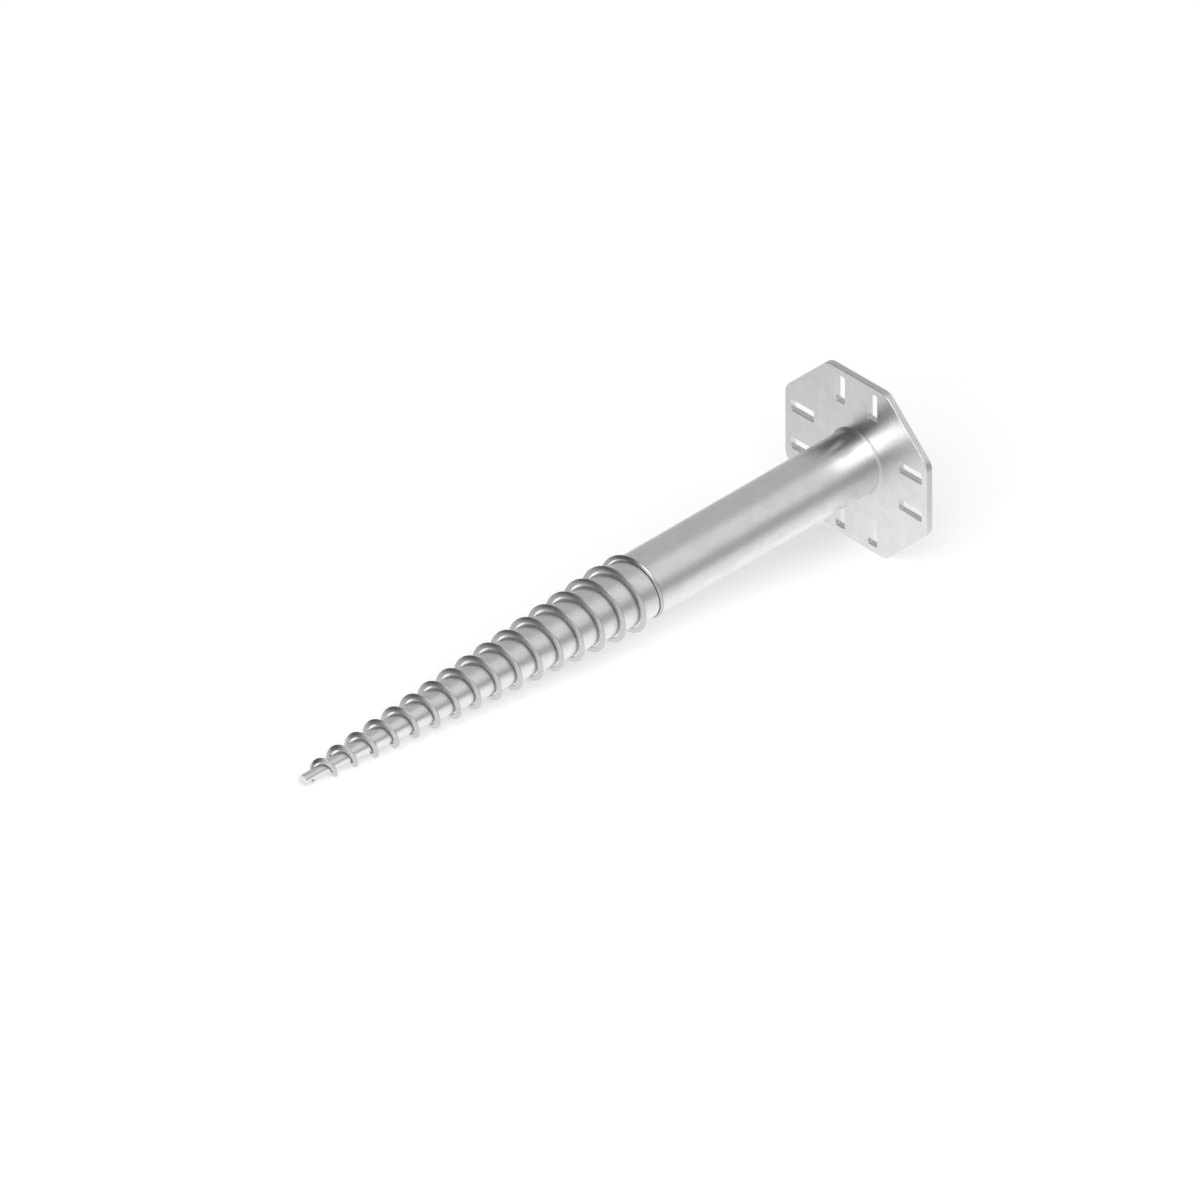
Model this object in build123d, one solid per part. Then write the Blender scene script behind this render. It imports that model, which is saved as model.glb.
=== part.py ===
from build123d import *
import math
import os

# Foundation ground screw, lying on its side. The origin is the middle of the flange's
# outer face, +X points out of that face, and the screw runs back along -X to its tip.
# All sizes are in millimetres.

# Shaft: one tube, hammered down to a cone that ends in a closed, blunt tip.
overall_length = 865.0
tube_diameter = 76.1
tube_wall = 3.6
cone_length = 527.0
cone_small_diameter = 9.0
tip_diameter = 11.4
tip_edge_break = 0.5
tip_solid_length = 40.0

# Flange: an octagonal plate, laser cut, with slots in pairs along its four sides.
plate_across_flats = 220.0
plate_thickness = 8.0
plate_corner_radius = 18.0
plate_edge_break = 0.4
plate_hole_clearance = 0.15
slot_width = 14.0
slot_length = 35.0
slot_corner_radius = 1.5
slot_pair_spacing = 50.0
slot_edge_margin = 9.0

# Welds that join the plate to the tube, one on each side of the plate.
under_weld_leg = 2.5
tube_end_recess = 3.0

# Flight: a strip wound round the cone as a right-handed screw. Its section narrows from
# root to crest, and it stands just off the cone, on one stitch weld in each turn.
flight_pitch = 30.0
flight_start = 10.6
flight_shoulder_gap = 3.0
flight_start_angle = 210.0
flight_height = 8.0
flight_root_gap = 2.5
flight_root_width = 5.0
flight_crest_width = 1.0
flight_run_in_turns = 0.7
flight_run_out_turns = 0.8
flight_end_share = 0.2
stitch_width = 3.0
stitch_span = 90.0
stitch_centre_angle = 315.0
stitch_seat_gap = 0.05
points_per_turn = 16

tip_x = -overall_length
shoulder_x = tip_x + cone_length
tube_radius = tube_diameter / 2
bore_radius = tube_radius - tube_wall
tip_radius = tip_diameter / 2
cone_slope = (tube_radius - cone_small_diameter / 2) / cone_length
flight_first_x = tip_x + flight_start
flight_turns = (shoulder_x - flight_shoulder_gap - flight_first_x) / flight_pitch


def cone_radius(x):
    """Radius of the cone's straight side, carried on past both of its ends."""
    return tube_radius - cone_slope * (shoulder_x - x)


def surface_radius(x):
    """Outer radius of the shaft at x: blunt tip, cone or tube."""
    return min(tube_radius, max(tip_radius, cone_radius(x)))


def make_shaft():
    """The tube and its cone: one hollow piece, open at the flange."""
    tip_end_x = shoulder_x - (tube_radius - tip_radius) / cone_slope
    cavity_end_x = tip_x + tip_solid_length
    tube_end_x = -tube_end_recess
    outside = [
        (tip_x, 0),
        (tip_x, tip_radius - tip_edge_break),
        (tip_x + tip_edge_break, tip_radius),
        (tip_end_x, tip_radius),
        (shoulder_x, tube_radius),
        (tube_end_x, tube_radius),
    ]
    inside = [
        (tube_end_x, bore_radius),
        (shoulder_x, bore_radius),
        (cavity_end_x, cone_radius(cavity_end_x) - tube_wall),
        (cavity_end_x, 0),
    ]
    profile = make_face(Polyline(*outside, *inside, close=True))
    return revolve(profile, Axis.X, 360)


def make_plate():
    """The octagonal flange plate, with its tube hole and its slots."""
    face_plane = Plane.YZ.offset(-plate_thickness)
    corner_reach = plate_across_flats / 2 / math.cos(math.pi / 8)
    outline = RegularPolygon(corner_reach, 8, rotation=22.5)
    outline = fillet(outline.vertices(), plate_corner_radius)
    outline -= Circle(tube_radius + plate_hole_clearance)
    slot = RectangleRounded(slot_width, slot_length, slot_corner_radius)
    slot_centre = plate_across_flats / 2 - slot_edge_margin - slot_length / 2
    for quarter in range(4):
        for side in (-1, 1):
            place = Pos(side * slot_pair_spacing / 2, slot_centre)
            outline -= Rot(0, 0, 90 * quarter) * place * slot
    plate = extrude(face_plane * outline, plate_thickness)
    return chamfer(plate.edges().filter_by(Plane.YZ), plate_edge_break)


def ring_weld(corners):
    """A weld ring about the axis, from its section's (x, radius) corners."""
    return revolve(make_face(Polyline(*corners, close=True)), Axis.X, 360)


def make_under_weld():
    """Fillet weld between the tube and the plate's inner face."""
    plate_x = -plate_thickness
    return ring_weld([
        (plate_x, tube_radius),
        (plate_x, tube_radius + under_weld_leg),
        (plate_x - under_weld_leg, tube_radius),
    ])


def make_end_weld():
    """Weld in the step between the tube's end and the hole in the plate."""
    hole_radius = tube_radius + plate_hole_clearance
    return ring_weld([
        (-tube_end_recess, hole_radius),
        (-plate_edge_break, hole_radius),
        (-tube_end_recess, hole_radius - tube_wall),
    ])


def run_share(turn):
    """Share of the full height at a turn: it grows at the tip and dies at the shoulder."""
    to_end = flight_turns - turn
    rising = flight_end_share + (1 - flight_end_share) * turn / flight_run_in_turns
    falling = flight_end_share + (1 - flight_end_share) * to_end / flight_run_out_turns
    return min(1.0, rising, falling)


def flight_breaks():
    """Turns where a wound face is divided: at the two runs, and once a turn between them."""
    breaks = [flight_run_in_turns]
    while breaks[-1] + 1 < flight_turns - flight_run_out_turns:
        breaks.append(breaks[-1] + 1)
    return breaks + [flight_turns - flight_run_out_turns]


def make_helix(bottom, bottom_width, top, top_width, first_turn, last_turn):
    """
    A solid wound round the cone from one turn to another. Its section runs from bottom to
    top above the shaft, with the axial width given at each.
    """
    def corner(turn, offset, height):
        x = flight_first_x + flight_pitch * turn + offset
        radius = surface_radius(x) + height * run_share(turn)
        angle = math.radians(flight_start_angle + 360 * turn)
        return Vector(x, radius * math.cos(angle), radius * math.sin(angle))

    def rail(first, last, offset, height):
        spans = max(3, math.ceil((last - first) * points_per_turn))
        turns_along = [first + (last - first) * span / spans for span in range(spans + 1)]
        return Edge.make_spline([corner(turn, offset, height) for turn in turns_along])

    section = [
        (-bottom_width / 2, bottom),
        (bottom_width / 2, bottom),
        (top_width / 2, top),
        (-top_width / 2, top),
    ]
    breaks = [turn for turn in flight_breaks() if first_turn < turn < last_turn]
    stops = [first_turn, *breaks, last_turn]

    faces = []
    for first, last in zip(stops, stops[1:]):
        rails = [rail(first, last, *place) for place in section]
        for near, far in zip(rails, rails[1:] + rails[:1]):
            faces.append(Face.make_surface_from_curves(near, far))
    for turn in (first_turn, last_turn):
        ring = [corner(turn, *place) for place in section]
        faces.append(Face(Wire.make_polygon(ring, close=True)))
    return Solid(Shell(faces))


def make_flight():
    """The whole strip, from the tip to the shoulder."""
    return make_helix(
        flight_root_gap, flight_root_width, flight_height, flight_crest_width, 0.0, flight_turns
    )


def make_stitches():
    """The stitch welds that fill the gap under the strip, one in each turn, by name."""
    bottom = stitch_seat_gap
    top = flight_root_gap - stitch_seat_gap
    centre = (stitch_centre_angle - flight_start_angle) / 360 % 1
    reach = stitch_span / 360 / 2
    stitches = {}
    while centre + reach < flight_turns:
        name = f"stitch_weld_{len(stitches) + 1:02d}"
        first_turn = max(0.0, centre - reach)
        stitches[name] = make_helix(
            bottom, stitch_width, top, stitch_width, first_turn, centre + reach
        )
        centre += 1
    return stitches


parts = {
    "tube_shaft": make_shaft(),
    "flange_plate": make_plate(),
    "flange_under_weld": make_under_weld(),
    "flange_end_weld": make_end_weld(),
    "screw_flight": make_flight(),
    **make_stitches(),
}

os.makedirs("parts", exist_ok=True)
for name, shape in parts.items():
    export_step(shape, f"parts/{name}.step")
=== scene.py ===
import math

import bpy
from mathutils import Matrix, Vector


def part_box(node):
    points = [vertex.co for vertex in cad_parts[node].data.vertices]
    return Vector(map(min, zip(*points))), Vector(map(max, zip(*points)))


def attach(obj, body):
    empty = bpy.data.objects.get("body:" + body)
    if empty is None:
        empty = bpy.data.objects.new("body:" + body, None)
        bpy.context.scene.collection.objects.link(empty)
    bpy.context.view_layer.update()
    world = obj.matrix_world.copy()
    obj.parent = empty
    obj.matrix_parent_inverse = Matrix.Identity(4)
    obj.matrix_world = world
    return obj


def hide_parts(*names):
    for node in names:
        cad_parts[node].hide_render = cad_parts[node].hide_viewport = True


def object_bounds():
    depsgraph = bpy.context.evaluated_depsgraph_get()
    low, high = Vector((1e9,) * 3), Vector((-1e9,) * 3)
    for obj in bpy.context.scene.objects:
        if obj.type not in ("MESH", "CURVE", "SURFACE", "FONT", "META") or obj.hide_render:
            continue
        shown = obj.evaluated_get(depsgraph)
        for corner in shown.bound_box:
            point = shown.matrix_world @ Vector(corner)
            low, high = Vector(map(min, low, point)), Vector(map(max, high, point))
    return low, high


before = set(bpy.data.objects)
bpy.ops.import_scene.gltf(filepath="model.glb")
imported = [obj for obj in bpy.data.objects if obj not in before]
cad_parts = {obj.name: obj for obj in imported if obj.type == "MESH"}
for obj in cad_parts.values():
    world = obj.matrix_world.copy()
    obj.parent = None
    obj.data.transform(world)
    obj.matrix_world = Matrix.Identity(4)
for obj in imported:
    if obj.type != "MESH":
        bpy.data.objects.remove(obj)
cad_low, cad_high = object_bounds()

# Sizes that the CAD parts in model.glb don't give, in metres. The screw's axis is the X axis.
CONE_LENGTH = 0.527
CONE_SMALL_RADIUS = 0.0045
TIP_RADIUS = 0.0057
TIP_EDGE = 0.0005
TIP_ROUNDING = 0.00015
TIP_SOLID_LENGTH = 0.040
TUBE_WALL = 0.0036
MOUTH_EDGE = 0.0004

FLIGHT_PITCH = 0.030
FLIGHT_START_ANGLE = math.radians(210)
FLIGHT_HEIGHT = 0.008
FLIGHT_ROOT_GAP = 0.0025
FLIGHT_ROOT_WIDTH = 0.005
FLIGHT_CREST_WIDTH = 0.001
FLIGHT_EDGE = 0.0002
FLIGHT_RUN_IN_TURNS = 0.7
FLIGHT_RUN_OUT_TURNS = 0.8
FLIGHT_END_SHARE = 0.2

# A weld bead's ripples: their length round the tube, their depth, and how far each leans.
RIPPLE_LENGTH = 0.0028
UNDER_RIPPLE_DEPTH = 0.00015
END_RIPPLE_DEPTH = 0.0004
RIPPLE_LEAN = 0.6

# The galvanised finish: a spangle's size, how fine each noise is, the share of each in the
# tone, the tones at which the ramps start and end, the blue cast as a share of the spangle's
# contrast, how far the roughness swings with the tone, and how deep the grain is.
SPANGLE_SIZE = 0.012
CLOUD_SCALE = 25.0
STREAK_SCALE = (5.0, 120.0, 120.0)
GRAIN_SCALE = 900.0
CLOUD_SHARE = 0.5
STREAK_SHARE = 0.3
GRAIN_SHARE = 0.45
TONE_LOW = 0.25
TONE_HIGH = 0.75
BLUE_SHARE = 0.1
ROUGHNESS_SWING = 0.04
GRAIN_DEPTH = 0.0002

# Patches of the studio's light: direction, angle where it starts, angle of its core, radiance.
STUDIO_LEVEL = 0.54
STUDIO_PATCHES = [
    ((-1, -0.2, 0.0), 75, 20, 0.45),
    ((0.58, -0.81, 0.0), 38, 12, 0.43),
    ((0.56, -0.5, 0.66), 38, 10, 0.82),
    ((-0.58, 0.58, 0.58), 60, 30, 0.10),
    ((-0.577, -0.40, 0.71), 35, 9, 2.40),
]

# The floor as the metal sees it: its radiance at distances along Y from the screw's axis.
# The camera sees it white, with a soft shadow.
FLOOR_TONES = [
    (-0.80, 0.50), (-0.45, 0.56), (-0.25, 0.82), (-0.13, 0.98), (-0.05, 1.14),
    (0.00, 1.08), (0.06, 0.98), (0.15, 0.88), (0.30, 0.76), (0.80, 0.60),
]
FLOOR_COLOUR = (0.9, 0.9, 0.9, 1)
FLOOR_GLOW = 0.37
FLOOR_REACH = 12.0
FLOOR_DROP = 0.0002

# The view: its width, the camera's distance, how far it sees, and where the flange is.
VIEW_WIDTH = 1.3138
VIEW_DISTANCE = 4
VIEW_DEPTH = 50
FLANGE_RIGHT_OF_MIDDLE = 0.2805
FLANGE_ABOVE_MIDDLE = 0.1527

SHAFT_SEGMENTS = 192
CONE_RINGS = 24
TUBE_RINGS = 10
STEPS_PER_TURN = 72
WELD_STEPS = 480
WELD_SPOTS = 7

shaft_low, shaft_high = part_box("tube_shaft")
plate_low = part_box("flange_plate")[0]
flight_low, flight_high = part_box("screw_flight")
TIP_X = shaft_low.x
TUBE_RADIUS = shaft_high.z
SHOULDER_X = TIP_X + CONE_LENGTH
CONE_SLOPE = (TUBE_RADIUS - CONE_SMALL_RADIUS) / CONE_LENGTH


def cone_radius(x):
    """Radius of the cone's straight side, carried on past both of its ends."""
    return TUBE_RADIUS - CONE_SLOPE * (SHOULDER_X - x)


def surface_radius(x):
    """Outer radius of the shaft at x: blunt tip, cone or tube."""
    return min(TUBE_RADIUS, max(TIP_RADIUS, cone_radius(x)))


# ---------------------------------------------------------------- mesh helpers

def around_axis(x, radius, angle):
    """The point at a radius and an angle round the X axis."""
    return (x, radius * math.cos(angle), radius * math.sin(angle))


def add_piece(name, verts, faces, replaced, sharp_degrees=40):
    """A smooth mesh with sharp edges, which stands for one CAD node."""
    mesh = bpy.data.meshes.new(name)
    mesh.from_pydata(verts, [], faces)
    mesh.update()
    mesh.shade_smooth()
    mesh.set_sharp_from_angle(angle=math.radians(sharp_degrees))
    piece = bpy.data.objects.new(name, mesh)
    bpy.context.scene.collection.objects.link(piece)
    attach(piece, "root")
    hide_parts(replaced)
    return piece


def ring_faces(rings, count, closed):
    """Quads between neighbouring rings of count points each, round to the first if closed."""
    faces = []
    pairs = rings if closed else rings - 1
    for ring in range(pairs):
        for spot in range(count):
            a = ring * count + spot
            b = ring * count + (spot + 1) % count
            c = (ring + 1) % rings * count + (spot + 1) % count
            d = (ring + 1) % rings * count + spot
            faces.append((a, b, c, d))
    return faces


def lathe(profile, segments, wobble=None):
    """Verts and faces of a closed (x, radius) profile turned round the X axis."""
    verts = []
    for segment in range(segments):
        angle = 2 * math.pi * segment / segments
        for spot, (x, radius) in enumerate(profile):
            if wobble:
                x, radius = wobble(spot, angle, x, radius)
            verts.append(around_axis(x, radius, angle))
    return verts, ring_faces(segments, len(profile), True)


# ---------------------------------------------------------------- pieces

def make_shaft():
    """Tube, hammered cone and blunt tip, as one hollow shell that is open at the flange."""
    tip_end_x = SHOULDER_X - (TUBE_RADIUS - TIP_RADIUS) / CONE_SLOPE
    cavity_x = TIP_X + TIP_SOLID_LENGTH
    mouth_x = shaft_high.x
    bore = TUBE_RADIUS - TUBE_WALL
    axis_radius = 1e-5
    profile = [
        (TIP_X, axis_radius),
        (TIP_X, TIP_RADIUS - TIP_EDGE),
        (TIP_X + TIP_ROUNDING, TIP_RADIUS - TIP_ROUNDING),
        (TIP_X + TIP_EDGE, TIP_RADIUS),
        (tip_end_x, TIP_RADIUS),
    ]
    for ring in range(1, CONE_RINGS):
        x = tip_end_x + (SHOULDER_X - tip_end_x) * ring / CONE_RINGS
        profile.append((x, cone_radius(x)))
    profile.append((SHOULDER_X, TUBE_RADIUS))
    for ring in range(1, TUBE_RINGS):
        profile.append((SHOULDER_X + (mouth_x - SHOULDER_X) * ring / TUBE_RINGS, TUBE_RADIUS))
    profile += [
        (mouth_x - MOUTH_EDGE, TUBE_RADIUS),
        (mouth_x, TUBE_RADIUS - MOUTH_EDGE),
        (mouth_x, bore + MOUTH_EDGE),
        (mouth_x - MOUTH_EDGE, bore),
        (SHOULDER_X, bore),
        (cavity_x, cone_radius(cavity_x) - TUBE_WALL),
        (cavity_x, axis_radius),
    ]
    verts, faces = lathe(profile, SHAFT_SEGMENTS)
    return add_piece("shaft", verts, faces, "tube_shaft", 25)


def run_share(turn, turns):
    """Share of the full height at a turn: it grows at the tip and dies at the shoulder."""
    rising = FLIGHT_END_SHARE + (1 - FLIGHT_END_SHARE) * turn / FLIGHT_RUN_IN_TURNS
    falling = FLIGHT_END_SHARE + (1 - FLIGHT_END_SHARE) * (turns - turn) / FLIGHT_RUN_OUT_TURNS
    return min(1.0, rising, falling)


def helix(section):
    """Verts and faces of a (x offset, height) section wound round the cone."""
    first_x = flight_low.x + FLIGHT_ROOT_WIDTH / 2
    last_x = flight_high.x - FLIGHT_ROOT_WIDTH / 2
    turns = (last_x - first_x) / FLIGHT_PITCH
    steps = math.ceil(turns * STEPS_PER_TURN)
    verts = []
    for step in range(steps + 1):
        turn = turns * step / steps
        angle = FLIGHT_START_ANGLE + 2 * math.pi * turn
        for offset, height in section:
            x = first_x + FLIGHT_PITCH * turn + offset
            radius = surface_radius(x) + height * run_share(turn, turns)
            verts.append(around_axis(x, radius, angle))
    count = len(section)
    faces = ring_faces(steps + 1, count, False)
    faces.append(tuple(reversed(range(count))))
    faces.append(tuple(range(steps * count, (steps + 1) * count)))
    return verts, faces


def make_flight():
    """The screw's strip: a section that narrows to its crest, with its corners taken off."""
    root = FLIGHT_ROOT_WIDTH / 2
    crest = FLIGHT_CREST_WIDTH / 2
    flank = crest + FLIGHT_EDGE / 2
    section = [
        (-root + FLIGHT_EDGE, FLIGHT_ROOT_GAP),
        (root - FLIGHT_EDGE, FLIGHT_ROOT_GAP),
        (root, FLIGHT_ROOT_GAP + FLIGHT_EDGE),
        (flank, FLIGHT_HEIGHT - FLIGHT_EDGE),
        (crest - FLIGHT_EDGE, FLIGHT_HEIGHT),
        (-crest + FLIGHT_EDGE, FLIGHT_HEIGHT),
        (-flank, FLIGHT_HEIGHT - FLIGHT_EDGE),
        (-root, FLIGHT_ROOT_GAP + FLIGHT_EDGE),
    ]
    verts, faces = helix(section)
    return add_piece("flight_strip", verts, faces, "screw_flight")


def make_ring_bead(name, node, corner, far_x, far_radius, ripple_depth):
    """
    A weld ring whose section is a triangle from its corner to far_x and to far_radius. Its
    open side sinks towards the corner between the ripples of the bead.
    """
    corner_x, corner_radius = corner
    section = [corner]
    for spot in range(WELD_SPOTS):
        share = spot / (WELD_SPOTS - 1)
        x = far_x + (corner_x - far_x) * share
        radius = corner_radius + (far_radius - corner_radius) * share
        section.append((x, radius))
    inward_x = math.copysign(1, corner_x - far_x)
    inward_radius = math.copysign(1, corner_radius - far_radius)
    ripples = round(2 * math.pi * TUBE_RADIUS / RIPPLE_LENGTH)

    def wobble(spot, angle, x, radius):
        if spot < 2 or spot == WELD_SPOTS:
            return x, radius
        along = spot - 1
        bulge = math.sin(math.pi * along / (WELD_SPOTS - 1))
        wave = abs(math.sin(ripples * angle / 2 + RIPPLE_LEAN * along))
        sink = ripple_depth * bulge * (1 - wave)
        return x + sink * inward_x, radius + sink * inward_radius

    verts, faces = lathe(section, WELD_STEPS, wobble)
    return add_piece(name, verts, faces, node, 60)


def make_under_bead():
    """The fillet between the tube and the plate's inner face."""
    node = "flange_under_weld"
    low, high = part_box(node)
    corner = (high.x, TUBE_RADIUS)
    return make_ring_bead("under_bead", node, corner, low.x, high.z, UNDER_RIPPLE_DEPTH)


def make_end_bead():
    """The weld in the step between the tube's end and the plate's hole."""
    node = "flange_end_weld"
    low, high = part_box(node)
    corner = (low.x, high.z)
    return make_ring_bead("end_bead", node, corner, high.x, high.z - TUBE_WALL, END_RIPPLE_DEPTH)


# ---------------------------------------------------------------- materials

def node_maker(tree):
    """A function that adds a node to the tree and sets or links its inputs by name."""
    def make(kind, **inputs):
        node = tree.nodes.new(kind)
        for name, value in inputs.items():
            socket = node.inputs[name.replace("_", " ")]
            if isinstance(value, bpy.types.NodeSocket):
                tree.links.new(value, socket)
            else:
                socket.default_value = value
        return node
    return make


def pick_by_ray(tree, make, kind, chosen, otherwise):
    """A shader that is chosen for one kind of ray, and otherwise for all the others."""
    path = make("ShaderNodeLightPath")
    pick = make("ShaderNodeMixShader", Fac=path.outputs[kind])
    tree.links.new(otherwise.outputs[0], pick.inputs[1])
    tree.links.new(chosen.outputs[0], pick.inputs[2])
    return pick


def galvanised(name, level, roughness, spangle=0.04, grain_bump=0.3):
    """
    Dip-galvanised steel of a given reflectance: faint spangle and cloudy patches, fine
    grain, and run marks along the screw.
    """
    material = bpy.data.materials.new(name)
    material.use_nodes = True
    tree = material.node_tree
    make = node_maker(tree)
    shader = tree.nodes["Principled BSDF"]
    shader.inputs["Metallic"].default_value = 1.0
    place = make("ShaderNodeTexCoord").outputs["Object"]

    cells = make("ShaderNodeTexVoronoi", Vector=place, Scale=1 / SPANGLE_SIZE)
    cell = make("ShaderNodeSeparateColor", Color=cells.outputs["Color"])
    cloud = make("ShaderNodeTexNoise", Vector=place, Scale=CLOUD_SCALE, Detail=4.0)
    stretch = make("ShaderNodeMapping", Vector=place, Scale=STREAK_SCALE)
    streak = make("ShaderNodeTexNoise", Vector=stretch.outputs["Vector"], Scale=1.0, Detail=3.0)
    grain = make("ShaderNodeTexNoise", Vector=place, Scale=GRAIN_SCALE, Detail=3.0)

    tone = cell.outputs["Red"]
    for noise, share in ((cloud, CLOUD_SHARE), (streak, STREAK_SHARE), (grain, GRAIN_SHARE)):
        blend = make("ShaderNodeMix", Factor=share, A=tone, B=noise.outputs["Fac"])
        tone = blend.outputs["Result"]

    colour = make("ShaderNodeValToRGB", Fac=tone)
    low, high = colour.color_ramp.elements
    for stop, position, grey in ((low, TONE_LOW, level - spangle), (high, TONE_HIGH, level + spangle)):
        stop.position = position
        stop.color = (grey, grey, grey + BLUE_SHARE * spangle, 1)
    tree.links.new(colour.outputs["Color"], shader.inputs["Base Color"])

    gloss = make("ShaderNodeMapRange", Value=tone)
    gloss.inputs["From Min"].default_value = TONE_LOW
    gloss.inputs["From Max"].default_value = TONE_HIGH
    gloss.inputs["To Min"].default_value = roughness + ROUGHNESS_SWING
    gloss.inputs["To Max"].default_value = roughness - ROUGHNESS_SWING
    tree.links.new(gloss.outputs["Result"], shader.inputs["Roughness"])

    bump = make("ShaderNodeBump", Height=grain.outputs["Fac"], Strength=grain_bump,
                Distance=GRAIN_DEPTH)
    tree.links.new(bump.outputs["Normal"], shader.inputs["Normal"])
    return material


def give(piece, material):
    """Puts one material on a piece in place of what it has."""
    piece.data.materials.clear()
    piece.data.materials.append(material)


# ---------------------------------------------------------------- stage

def floor_line():
    """
    The line in the XZ plane that the screw rests on: through the flange's lowest edge, and
    touching the shaft or the flight below. Gives the edge's x and z, and the slope down per
    metre along X.
    """
    foot_x, foot_z = plate_low.x, plate_low.z
    slopes = []
    for name in ("tube_shaft", "screw_flight"):
        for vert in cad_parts[name].data.vertices:
            if vert.co.x < SHOULDER_X:
                slopes.append((vert.co.z - foot_z) / (foot_x - vert.co.x))
    return foot_x, foot_z, min(slopes)


def floor_material():
    """
    A white floor that keeps the screw's soft shadow. Glossy rays see FLOOR_TONES instead,
    with no shadow.
    """
    material = bpy.data.materials.new("floor_white")
    material.use_nodes = True
    tree = material.node_tree
    make = node_maker(tree)
    tree.nodes.remove(tree.nodes["Principled BSDF"])
    diffuse = make("ShaderNodeBsdfDiffuse", Color=FLOOR_COLOUR)
    glow = make("ShaderNodeEmission", Strength=FLOOR_GLOW)
    seen = make("ShaderNodeAddShader")
    tree.links.new(diffuse.outputs[0], seen.inputs[0])
    tree.links.new(glow.outputs[0], seen.inputs[1])

    place = make("ShaderNodeSeparateXYZ",
                 Vector=make("ShaderNodeTexCoord").outputs["Object"])
    reach = FLOOR_TONES[-1][0]
    across = make("ShaderNodeMapRange", Value=place.outputs["Y"])
    across.inputs["From Min"].default_value = -reach
    across.inputs["From Max"].default_value = reach
    fade = make("ShaderNodeValToRGB", Fac=across.outputs["Result"])
    stops = fade.color_ramp.elements
    while len(stops) < len(FLOOR_TONES):
        stops.new(0.5)
    for stop, (y, radiance) in zip(stops, FLOOR_TONES):
        stop.position = (y + reach) / (2 * reach)
        stop.color = (radiance, radiance, radiance, 1)
    mirrored = make("ShaderNodeEmission", Color=fade.outputs["Color"], Strength=1.0)

    pick = pick_by_ray(tree, make, "Is Glossy Ray", mirrored, seen)
    tree.links.new(pick.outputs[0], tree.nodes["Material Output"].inputs["Surface"])
    return material


def make_floor():
    """A large plane just below the line that the screw rests on."""
    foot_x, foot_z, slope = floor_line()
    corners = []
    for side_x, side_y in ((-1, -1), (1, -1), (1, 1), (-1, 1)):
        x = FLOOR_REACH * side_x
        corners.append((foot_x + x, FLOOR_REACH * side_y, foot_z - FLOOR_DROP - slope * x))
    mesh = bpy.data.meshes.new("floor")
    mesh.from_pydata(corners, [], [(0, 1, 2, 3)])
    mesh.materials.append(floor_material())
    floor = bpy.data.objects.new("floor", mesh)
    bpy.context.scene.collection.objects.link(floor)


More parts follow.
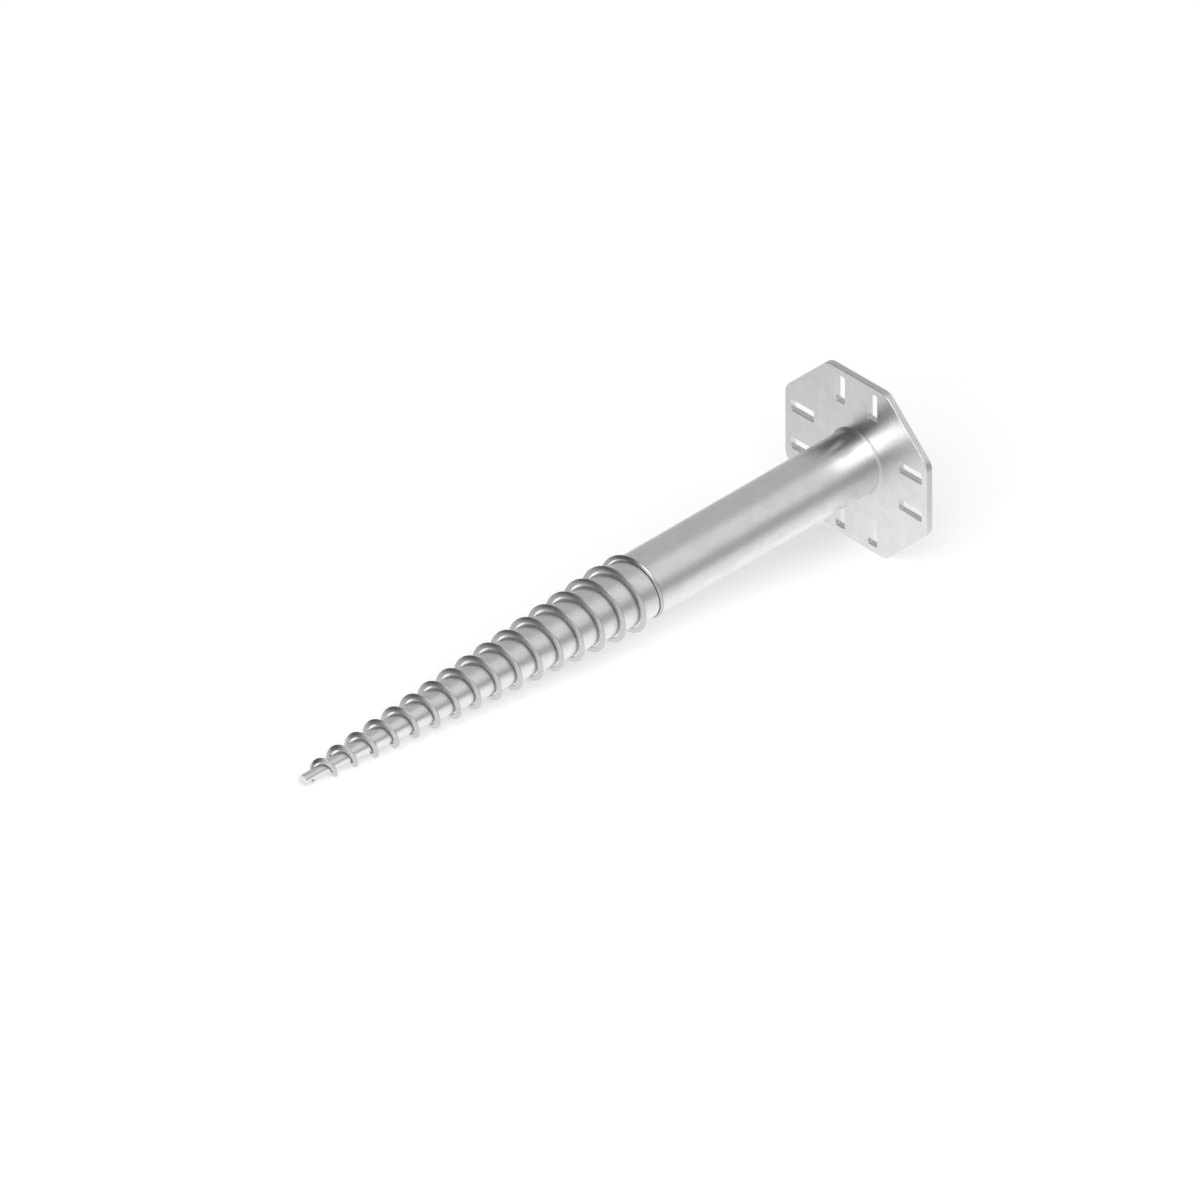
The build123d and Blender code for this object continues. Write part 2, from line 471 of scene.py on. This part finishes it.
def make_world():
    """
    The studio that lights the screw and is mirrored in it: grey overall, brightest above the
    camera, bright high on the right, dim along the horizon at the tip's end and on the right,
    and dark on the left. The camera itself sees white.
    """
    world = bpy.data.worlds.new("studio")
    bpy.context.scene.world = world
    world.use_nodes = True
    tree = world.node_tree
    make = node_maker(tree)
    tree.nodes.clear()
    place = make("ShaderNodeTexCoord").outputs["Generated"]

    def patch(level, direction, edge, core, radiance):
        """Blends the level towards radiance inside a cone of directions."""
        facing = make("ShaderNodeVectorMath")
        facing.operation = "DOT_PRODUCT"
        tree.links.new(place, facing.inputs[0])
        facing.inputs[1].default_value = Vector(direction).normalized()
        share = make("ShaderNodeMapRange", Value=facing.outputs["Value"])
        share.interpolation_type = "SMOOTHSTEP"
        share.inputs["From Min"].default_value = math.cos(math.radians(edge))
        share.inputs["From Max"].default_value = math.cos(math.radians(core))
        blend = make("ShaderNodeMix", Factor=share.outputs["Result"], A=level, B=radiance)
        return blend.outputs["Result"]

    level = STUDIO_LEVEL
    for direction, edge, core, radiance in STUDIO_PATCHES:
        level = patch(level, direction, edge, core, radiance)
    studio = make("ShaderNodeBackground", Color=(1, 1, 1, 1), Strength=level)
    white = make("ShaderNodeBackground", Color=(1, 1, 1, 1), Strength=1.0)
    pick = pick_by_ray(tree, make, "Is Camera Ray", white, studio)
    out = make("ShaderNodeOutputWorld")
    tree.links.new(pick.outputs[0], out.inputs["Surface"])


def add_softbox(name, direction, distance, size, radiance):
    """A square lamp that shines on the screw's middle from the given direction."""
    lamp = bpy.data.lights.new(name, "AREA")
    lamp.size = size
    lamp.energy = radiance * math.pi * size * size
    box = bpy.data.objects.new(name, lamp)
    bpy.context.scene.collection.objects.link(box)
    middle = (cad_low + cad_high) / 2
    box.location = middle + Vector(direction).normalized() * distance
    box.rotation_euler = Vector(direction).to_track_quat("Z", "Y").to_euler()


def make_camera():
    """A parallel isometric view from above the tip's end, with the screw across its middle."""
    towards = Vector((-1, -1, 1)).normalized()
    right = Vector((1, -1, 0)).normalized()
    up = towards.cross(right)
    flange_middle = Vector((plate_low.x, 0, 0))
    aim = flange_middle - right * FLANGE_RIGHT_OF_MIDDLE - up * FLANGE_ABOVE_MIDDLE
    camera = bpy.data.cameras.new("camera")
    camera.type = "ORTHO"
    camera.ortho_scale = VIEW_WIDTH
    camera.clip_end = VIEW_DEPTH
    holder = bpy.data.objects.new("camera", camera)
    bpy.context.scene.collection.objects.link(holder)
    holder.location = aim + towards * VIEW_DISTANCE
    holder.rotation_euler = towards.to_track_quat("Z", "Y").to_euler()
    bpy.context.scene.camera = holder


tube_steel = galvanised("tube_steel", level=0.76, roughness=0.29, spangle=0.05, grain_bump=0.45)
plate_steel = galvanised("plate_steel", level=0.71, roughness=0.29, spangle=0.05)
flight_steel = galvanised("flight_steel", level=0.56, roughness=0.32)
weld_steel = galvanised("weld_steel", level=0.62, roughness=0.36, spangle=0.08, grain_bump=0.6)

give(make_shaft(), tube_steel)
give(make_flight(), flight_steel)
give(make_under_bead(), weld_steel)
give(make_end_bead(), weld_steel)
give(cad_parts["flange_plate"], plate_steel)
for name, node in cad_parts.items():
    if name.startswith("stitch_weld"):
        give(node, weld_steel)

make_floor()
make_world()
add_softbox("key_light", (-0.55, -0.38, 0.74), distance=3.0, size=1.5, radiance=1.2)
make_camera()
bpy.context.scene.view_settings.view_transform = "Standard"
